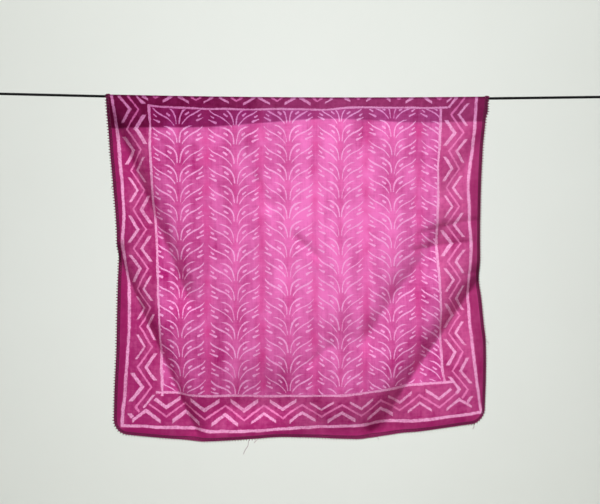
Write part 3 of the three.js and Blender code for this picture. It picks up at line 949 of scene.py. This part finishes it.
def leaf_field(start, field, ragged):
    """How much wax lies at each point of the field, and how far that is from a column's edge."""
    u, v = field.parts()
    q = u.math("PINGPONG", HALF_COLUMN)
    half = (u / HALF_COLUMN).math("FLOOR")

    # The long stroke of a leaf, an S from the column's edge down to the stem. It spans more
    # than a row, so the distance to the nearest of its copies is taken.
    t = q - STROKE_MIDDLE
    fall = v - (t * t * t * STROKE_CURL + t * STROKE_SLOPE + STROKE_DROP)
    slope = t * t * (3 * STROKE_CURL) + STROKE_SLOPE
    row = (fall / ROW_HEIGHT + 0.5).math("FLOOR")
    luck = random_at(start, half, row, 1.0)
    fall = fall - row * ROW_HEIGHT + (luck - 0.5) * 1.8
    distance = abs(fall) / (slope * slope + 1.0).math("SQRT") + ragged
    reach = (q - luck * 1.2).step(2.6, 3.8) * (q + luck).step(34.6, 33.2)
    taper = q.step(2.0, 13.0) * q.step(38.0, 19.0) * 0.45 + (STROKE_HALF_WIDTH - 0.45)
    long_stroke = mark_within(distance, taper + (luck - 0.5) * 0.4) * reach

    # The inner stroke springs from beside the stem and bends over like a fountain.
    row = (v / ROW_HEIGHT).math("FLOOR")
    d = v - row * ROW_HEIGHT
    luck = random_at(start, half, row, 2.0)
    gap = (d * (-1 / FOUNTAIN_FALL)).math("EXPONENT") * FOUNTAIN_SPREAD
    distance = abs(q - FOUNTAIN_STEM + gap - (luck - 0.5) * 1.2)
    distance = distance / (gap * gap * (1 / FOUNTAIN_FALL**2) + 1.0).math("SQRT") + ragged
    reach = (d - luck * 0.8).step(0.5, 1.3) * (d + luck).step(27.4, 26.0)
    taper = d.step(26.0, 4.0) * 0.45 + (STROKE_HALF_WIDTH - 0.4)
    inner_stroke = mark_within(distance, taper + (luck - 0.5) * 0.4) * reach

    # Three short dabs: a bean between the strokes and two dashes at the column's edge.
    other = random_at(start, half, row, 3.0)
    near = q + (other - 0.5) * 1.8
    low = d + (luck - 0.5) * 1.8
    bean = dab(near, low, ragged, (23.8, 10.9), (27.4, 13.6), 1.2, 1.35)
    short_dash = dab(near, d + (other - 0.5), ragged, (6.0, 12.8), (9.4, 15.4), 0.8, 1.2)
    long_dash = dab(q + (luck - 0.5) * 1.6, low, ragged, (4.4, 18.4), (12.6, 22.6), 0.65, 1.5)
    return long_stroke.over(inner_stroke).over(bean).over(short_dash).over(long_dash), q


# %% Border
ZIGZAG_MIDDLE = 24.5
ZIGZAG_REACH = 10.0
ZIGZAG_STEEPNESS = 0.81
ZIGZAG_HALF_WIDTH = 1.3
CHEVRON_HALF_WIDTH = 1.95
CHEVRON_OFFSET = 12.0
CHEVRON_ARM = 0.33
LINE_HALF_WIDTHS = (1.75, 2.1)


def border(start, outside, turns, ends, ragged, sway):
    """Wax in the border: the drawn lines with the chevrons, and the thin zigzag."""
    sideways, upright = outside.parts()
    level_turn_value, upright_turn_value = turns.parts()
    sideways = sideways + sway
    upright = upright + sway
    on_side = sideways.math("GREATER_THAN", upright)
    out = sideways.over(upright)
    turn = level_turn_value + (upright_turn_value - level_turn_value) * on_side
    turn = turn + sway * 0.02

    # 0 where the zigzag comes nearest to the field and a half where it is furthest out.
    h = turn.math("PINGPONG", 0.5)
    zigzag = ZIGZAG_MIDDLE - ZIGZAG_REACH + h * (4 * ZIGZAG_REACH)
    thin = abs(out - zigzag) * ZIGZAG_STEEPNESS + ragged
    zigzag_mark = mark_within(thin, ZIGZAG_HALF_WIDTH)

    outer_index = (turn + 0.5).math("FLOOR")
    inner_index = turn.math("FLOOR")
    outer_luck = random_at(start, outer_index, on_side, 5.0)
    inner_luck = random_at(start, inner_index, on_side, 6.0)
    marks = None
    for way, chance, near in ((1, outer_luck, h), (-1, inner_luck, 0.5 - h)):
        offset = (chance * 2.4 + (CHEVRON_OFFSET - 1.2)) * way
        distance = abs(out - zigzag - offset) * ZIGZAG_STEEPNESS + ragged
        arm = CHEVRON_ARM + (chance - 0.5) * 0.06
        mark = mark_within(distance, chance * 1.0 + (CHEVRON_HALF_WIDTH - 0.5))
        mark = mark * (arm - near).step(-0.015, 0.015)
        marks = mark if marks is None else marks.over(mark)

    between = out.step(3.0, 4.0) * out.step(BORDER_WIDTH - 3.0, BORDER_WIDTH - 4.0)
    marks = marks * between
    zigzag_mark = zigzag_mark * between

    # The drawn lines, which run past each other or stop short at the corners.
    level_end, upright_end = ends.parts()
    for place, half_width, shift in zip((0.0, float(BORDER_WIDTH)), LINE_HALF_WIDTHS, (1.0, 0.0)):
        for here, other, end in ((upright, sideways, level_end), (sideways, upright, upright_end)):
            distance = abs(here - place) + ragged + sway * 0.25
            past = other - place - end * shift
            mark = mark_within(distance, half_width) * past.step(1.6, 1.0)
            marks = marks.over(mark)
    return marks, zigzag_mark, out


# %% [markdown]
# ## Printed cotton, the dye and painted shade
#
# The dye took unevenly: it is stronger where two columns meet, the border is deeper, and
# blotches, bands and fine threads run through it all. The field's colour is also lighter towards
# its middle. The flap behind doubles the cloth along the top, so less light comes through there,
# and that darker band is also painted shade in the colour, as are a thin line along the crest and
# part of the hem's darkness. Thin cotton lets light through, so a share of the surface is a
# Translucent shader.

# %% Cotton material
BRIGHT_PINK = linear(250, 140, 216)
STRONG_PINK = linear(224, 62, 148)
DEEP_PINK = linear(172, 18, 112)
BORDER_PINK = linear(162, 46, 110)
BORDER_LIGHT = linear(222, 110, 172)
HEM_PINK = linear(136, 26, 84)
WAX_FIELD = linear(255, 190, 244)
WAX_BORDER = linear(252, 190, 236)
WAX_ZIGZAG = linear(248, 150, 212)
# Painted shade for the band where the flap doubles the cloth, on the ground and on the wax.
DOUBLED_PAINTED_SHADE = (0.34, 0.09, 0.25, 1.0)
DOUBLED_WAX_PAINTED_SHADE = (0.62, 0.40, 0.54, 1.0)
# Painted shade along the crest, where the black line lies behind the cloth.
OVER_LINE_PAINTED_SHADE = (0.45, 0.40, 0.45, 1.0)
GLOW_U, GLOW_DROP = 253.0, 150.0
GLOW_WIDE, GLOW_HIGH = 180.0, 230.0
TRANSLUCENCY = 0.30
THREAD_PITCH = 0.55
LIGHT_THROUGH = (0.98, 0.06, 0.56, 1.0)
STITCHED_WIDTH = 4.4


def cotton():
    material, start = new_material("printed_cotton")
    cloth, field, outside, turns, ends, flap_map = (
        map_of(start, name) for name in ("cloth", "field", "outside", "turns", "ends", "flap"))
    flap, _ = flap_map.parts()

    ragged = (cloth.noise(0.55, 1.0) - 0.5) * 1.1 + (cloth.noise(0.11, 1.0) - 0.5) * 1.0
    sway = (cloth.noise(0.017, 1.0) - 0.5) * 4.0
    wobble = cloth.noise(0.03, 1.0, output=1)
    wobble = wobble.vector("MULTIPLY_ADD", (2 * FIELD_WOBBLE,) * 3, (-FIELD_WOBBLE,) * 3)
    drawn = field.vector("ADD", wobble)

    leaves, q = leaf_field(start, drawn, ragged)
    marks, zigzag_mark, out = border(start, outside, turns, ends, ragged * 1.3, sway)
    sideways_out, upright_out = outside.parts()
    leaves = leaves * sideways_out.step(-1.2, -2.4) * upright_out.step(-2.0, -3.2)

    # The ground: deep blotches, a glow in the middle, stronger pink where columns meet.
    blotches = cloth.noise(0.026, 3.0)
    mottle = cloth.noise(0.16, 3.0)
    warp = cloth.stretched(0.42, 0.03).noise(1.0, 3.0, 0.65)
    weft = cloth.stretched(0.03, 0.42).noise(1.0, 3.0, 0.65)
    threads = (warp + weft) * 0.5
    u, v = field.parts()
    glow_u, glow_v = (u - GLOW_U) / GLOW_WIDE, (v - GLOW_DROP) / GLOW_HIGH
    glow = ((glow_u * glow_u + glow_v * glow_v) * -1).math("EXPONENT")
    bands = cloth.stretched(0.055, 0.012).noise(1.0, 2.0)
    light = glow * 0.66 + 0.26
    for pattern, amount in ((blotches, 0.8), (bands, 0.7), (mottle, 0.3), (threads, 0.75)):
        light = light + (pattern - 0.5) * amount
    light = light.over(0.0).under(1.0)
    ground = colour_mix(light, DEEP_PINK, BRIGHT_PINK)
    meeting = q.step(12.0, 0.0) + q.step(HALF_COLUMN - 10.0, HALF_COLUMN) * 0.5
    strength = (cloth.noise(0.05, 2.0) * 1.5 - 0.35).over(0.0) * meeting * 0.7
    ground = colour_mix(strength.under(0.8), ground, STRONG_PINK)
    x, y = cloth.parts()
    across_and_down = x * 0.0006 - y.step(390.0, 450.0) * 0.1
    border_light = light * 0.9 + (mottle - 0.5) * 0.5 + across_and_down - 0.17
    border_ground = colour_mix(border_light, BORDER_PINK, BORDER_LIGHT)
    ground = colour_mix(out.step(-2.0, 3.0) * 0.9, ground, border_ground)
    # Hem strip: partly its own deeper dye, partly painted shade where the edge turns away.
    ground = colour_mix(out.step(BORDER_WIDTH + 1.5, BORDER_WIDTH + 4.0) * 0.6, ground, HEM_PINK)

    # Within the stitched width of the sides and the bottom, the colour is darker.
    from_edge = x.under(SCARF_WIDTH - x).under(hem_end - y)
    ground = colour_mix(from_edge.step(STITCHED_WIDTH, 2.0) * 0.4, ground, HEM_PINK)

    # The wax, thinner in places.
    worn = cloth.noise(0.34, 2.0).step(0.25, 0.65)
    thin_places = cloth.noise(0.04, 2.0).step(0.2, 0.6) * 0.25
    colour = colour_mix(leaves * (worn * 0.32 + 0.5 + thin_places), ground, WAX_FIELD)
    colour = colour_mix(zigzag_mark * (worn * 0.3 + 0.42 + thin_places), colour, WAX_ZIGZAG)
    colour = colour_mix(marks * (worn * 0.4 + 0.36 + thin_places), colour, WAX_BORDER)
    wax = leaves.over(zigzag_mark).over(marks)

    # Painted shade: the doubled cloth in front of the flap is darkened in its colour, less on the
    # wax.
    doubled = flap.step(1.6, -1.6)
    painted_doubled_tint = colour_mix(wax, DOUBLED_PAINTED_SHADE, DOUBLED_WAX_PAINTED_SHADE)
    depth = blotches * 0.4 + x.step(330.0, 60.0) * 0.3 + 0.56
    colour = colour_mix(doubled * depth.under(1.0), colour, painted_doubled_tint, "MULTIPLY")
    # Painted shade: a dark line along the crest, where the black line lies right behind the cloth.
    colour = colour_mix(abs(y).step(5.5, 3.0), colour, OVER_LINE_PAINTED_SHADE, "MULTIPLY")

    round_thread = 2 * math.pi / THREAD_PITCH
    weave = (x * round_thread).math("SINE") * (y * round_thread).math("SINE")
    height = weave * 0.03 + threads * 0.45 + mottle * 0.35
    face = surface(colour, roughness=0.86, specular=0.06, normal=height.bump(0.5, 0.001))
    through = start.node("ShaderNodeBsdfTranslucent", None, {"Color": LIGHT_THROUGH})
    share = (1 - doubled * 0.7) * TRANSLUCENCY
    both = start.node("ShaderNodeMixShader", None, {0: share, 1: face, 2: through})
    return finish_material(material, both)


scarf.data.materials.append(cotton())
print("cotton nodes", len(scarf.data.materials[0].node_tree.nodes))

# %% [markdown]
# ## Thread, cord and steel
#
# The overlock thread is dyed dark and slightly shiny. The line is a black braid, whose strands
# cross round it in both directions. The eye plates are plated steel with a faint brushed grain.

# %% Thread, cord and steel materials
THREAD_DARK = linear(70, 6, 42)
THREAD_LIGHT = linear(140, 30, 92)
CORD_DARK = linear(6, 6, 7)
CORD_LIGHT = linear(18, 18, 20)
STEEL_DARK = linear(150, 152, 156)
STEEL_LIGHT = linear(198, 200, 203)
BRAID_TURN_MM = 9.0
BRAID_STRANDS = 4


def thread():
    material, start = new_material("overlock_thread")
    spots = own_place(start).noise(420.0, dimensions="3D")
    around, along = map_of(start, "winding").parts()
    ply = ((around * 2 + along * 1.1) * (2 * math.pi)).math("SINE") * 0.5 + 0.5
    # Partly painted shade: darker in the grooves of the ply, following its bump; the spots are the
    # thread's own tone.
    colour = colour_mix(spots * 0.7 + ply * 0.25, THREAD_DARK, THREAD_LIGHT)
    face = surface(colour, roughness=0.6, specular=0.3, normal=ply.bump(0.5, 0.0002))
    return finish_material(material, face)


def braid():
    material, start = new_material("black_braid")
    around, along = map_of(start, "winding").parts()
    one_way, other_way = (
        (turned * (2 * math.pi * BRAID_STRANDS)).math("SINE")
        for turned in (around + along / BRAID_TURN_MM, around - along / BRAID_TURN_MM))
    light = one_way * other_way * 0.5 + 0.5
    fuzz = own_place(start).noise(900.0, dimensions="3D")
    # Painted light and shade: lighter on the raised strands, darker between them, following the bump.
    colour = colour_mix(light * 0.6 + fuzz * 0.3, CORD_DARK, CORD_LIGHT)
    face = surface(colour, roughness=0.75, specular=0.15, normal=light.bump(0.6, 0.0004))
    return finish_material(material, face)


def steel():
    material, start = new_material("plated_steel")
    place = own_place(start)
    streaks = place.stretched(2600.0, 2600.0, 160.0).noise(1.0, 3.0, dimensions="3D")
    clouds = place.noise(160.0, 4.0, dimensions="3D")
    colour = colour_mix(clouds * 0.6 + streaks * 0.4, STEEL_DARK, STEEL_LIGHT)
    rough = streaks * 0.16 + clouds * 0.12 + 0.2
    bumps = streaks.bump(0.15, 0.0002)
    face = surface(colour, roughness=rough, specular=0.5, normal=bumps, metallic=1.0)
    return finish_material(material, face)


stitches.data.materials.append(thread())
black_braid = braid()
for piece in (line, *knots.values()):
    piece.data.materials.append(black_braid)
plated_steel = steel()
for name in ("eye_plate_left", "eye_plate_right"):
    for slot in frame["nodes"][name].material_slots:
        slot.material = plated_steel

# %% [markdown]
# ## Wall, floor and light
#
# The scarf hangs well in front of a pale wall, and light from the wall comes through it. The wall
# is a stage piece that lets light through from behind, so it never hides the back view. A soft
# lamp high in front makes the folds show, a weak one beside the camera fills their shadows, and a
# long one below the picture and behind the cloth washes the wall.

# %% Wall and floor
WALL_BEHIND = 1.1
WALL_HALF_WIDTH = 2.6
WALL_TOP = 1.7
FLOOR_BELOW = 1.15
FLOOR_REACH = 2.5


def pale_material(name, dark, light, see_through_back):
    """Paint that is lightest behind the scarf, as the photograph's wall is: a painted pool of light.
    """
    material, start = new_material(name)
    place = own_place(start)
    clouds = place.noise(3.0, 3.0, dimensions="3D")
    away = place.vector("DISTANCE", (MIDDLE_X * MM, WALL_BEHIND, eye_height), output=1)
    # Painted light: the paint darkens away from a point behind the scarf, on the wall and the floor.
    glow = (away * away * -1.2).math("EXPONENT")
    colour = colour_mix(clouds * 0.15 + glow * 0.85, dark, light)
    face = surface(colour, roughness=0.9, specular=0.2)
    if see_through_back:
        behind = start.node("ShaderNodeNewGeometry", output=6)
        clear = start.node("ShaderNodeBsdfTransparent")
        face = start.node("ShaderNodeMixShader", None, {0: behind, 1: face, 2: clear})
    return finish_material(material, face)


centre_x = MIDDLE_X * MM
wall_left, wall_right = centre_x - WALL_HALF_WIDTH, centre_x + WALL_HALF_WIDTH
wall = add_piece(
    "wall",
    [(wall_left, WALL_BEHIND, -FLOOR_BELOW), (wall_right, WALL_BEHIND, -FLOOR_BELOW),
     (wall_right, WALL_BEHIND, WALL_TOP), (wall_left, WALL_BEHIND, WALL_TOP)],
    [(0, 1, 2, 3)],
)
floor = add_piece(
    "floor",
    [(wall_left, -FLOOR_REACH, -FLOOR_BELOW), (wall_right, -FLOOR_REACH, -FLOOR_BELOW),
     (wall_right, FLOOR_REACH, -FLOOR_BELOW), (wall_left, FLOOR_REACH, -FLOOR_BELOW)],
    [(0, 1, 2, 3)],
)
for piece, name, dark, light, is_wall in (
    (wall, "pale_wall", linear(204, 207, 200), linear(226, 231, 226), True),
    (floor, "pale_floor", linear(214, 214, 210), linear(222, 222, 218), False),
):
    piece.data.materials.append(pale_material(name, dark, light, is_wall))

# %% Lamps
SKY_COLOUR, SKY_STRENGTH = (0.93, 0.96, 1.0, 1.0), 0.11


def lamp(name, place, target, size, watts):
    """A soft lamp, with its width and height, that the camera doesn't see."""
    data = bpy.data.lights.new(name, "AREA")
    data.shape = "RECTANGLE"
    data.size, data.size_y = size
    data.energy = watts
    made = bpy.data.objects.new(name, data)
    bpy.context.collection.objects.link(made)
    made.location = place
    made.rotation_euler = (Vector(target) - Vector(place)).to_track_quat("-Z", "Y").to_euler()
    made.visible_camera = False


lamp("soft_above", (centre_x, -1.9, 2.8), (centre_x, 0, -0.25), (0.7, 0.7), 172)
lamp("soft_front", (centre_x + 0.1, -2.4, 0.0), (centre_x, 0, -0.2), (1.2, 1.2), 3)
lamp("wall_wash", (centre_x, 0.12, -1.0), (centre_x, WALL_BEHIND, -0.35), (1.6, 0.3), 3)

world = bpy.data.worlds.new("room")
world.use_nodes = True
background = world.node_tree.nodes["Background"]
background.inputs["Color"].default_value = SKY_COLOUR
background.inputs["Strength"].default_value = SKY_STRENGTH
bpy.context.scene.world = world
bpy.context.scene.view_settings.view_transform = "Standard"

# %% [markdown]
# ## Attach each piece to the body
#
# Every piece moves with the one body, and where it stands for a plain solid in the imported
# model, that solid is hidden.

for piece, node, finish in (
    (scarf, "scarf", "printed_cotton"),
    (stitches, None, "printed_cotton"),
    (line, "line", "black_cord"),
    (knots["left"], "loop_and_knot_left", "black_cord"),
    (knots["right"], "loop_and_knot_right", "black_cord"),
):
    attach(piece, "root")
    if node:
        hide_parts(node)
